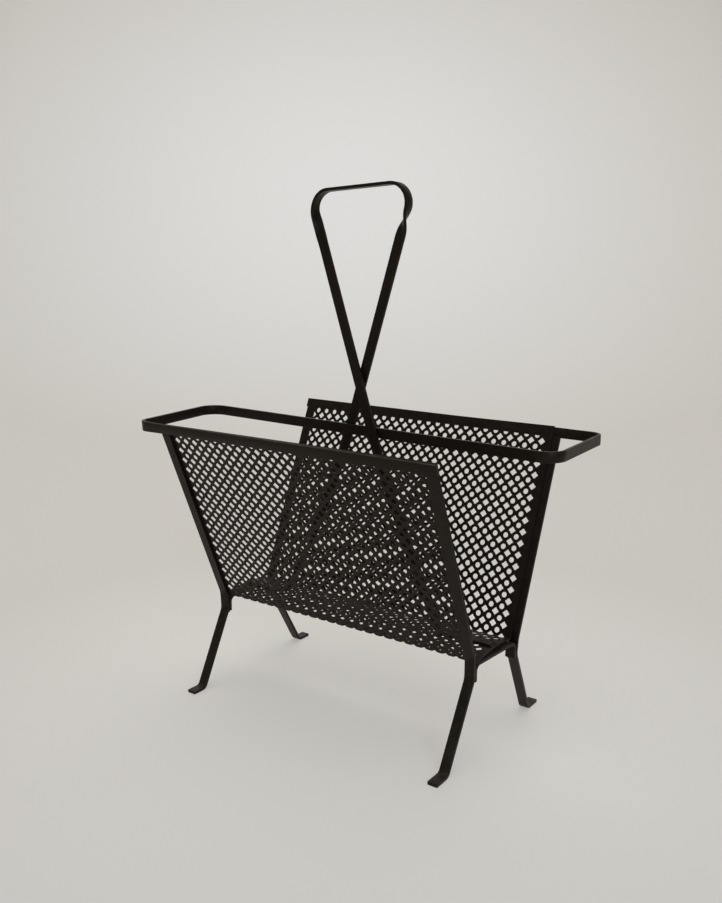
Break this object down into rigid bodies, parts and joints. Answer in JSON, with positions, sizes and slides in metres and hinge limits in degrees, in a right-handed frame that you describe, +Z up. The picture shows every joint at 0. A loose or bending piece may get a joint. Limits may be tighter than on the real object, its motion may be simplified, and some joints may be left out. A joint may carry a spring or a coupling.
{
  "type": "magazine rack",
  "caption": "Free-standing rack for magazines: a perforated steel trough on splayed strip legs, divided by a looped band, with a tall crossed carrying handle.",
  "frame": {"origin": "on the ground, under the middle of the rack", "axes": "+Z up, X along the length of the rack, Y across it; the handle's front leg and the front wall are on the -Y side"},
  "size_m": [0.396, 0.2249, 0.4944],
  "materials": {
    "black_paint": "satin black paint over mild steel"
  },
  "bodies": {
    "root": {"front_grille": "black_paint", "rear_grille": "black_paint", "floor_grille": "black_paint", "top_band": "black_paint", "handle_grip": "black_paint", "handle_leg_front": "black_paint", "handle_leg_rear": "black_paint", "leg_front_left": "black_paint", "leg_front_right": "black_paint", "leg_rear_left": "black_paint", "leg_rear_right": "black_paint", "crossbar_left": "black_paint", "crossbar_right": "black_paint", "crossbar_welds": "black_paint", "handle_foot_welds": "black_paint"}
  },
  "joints": []
}
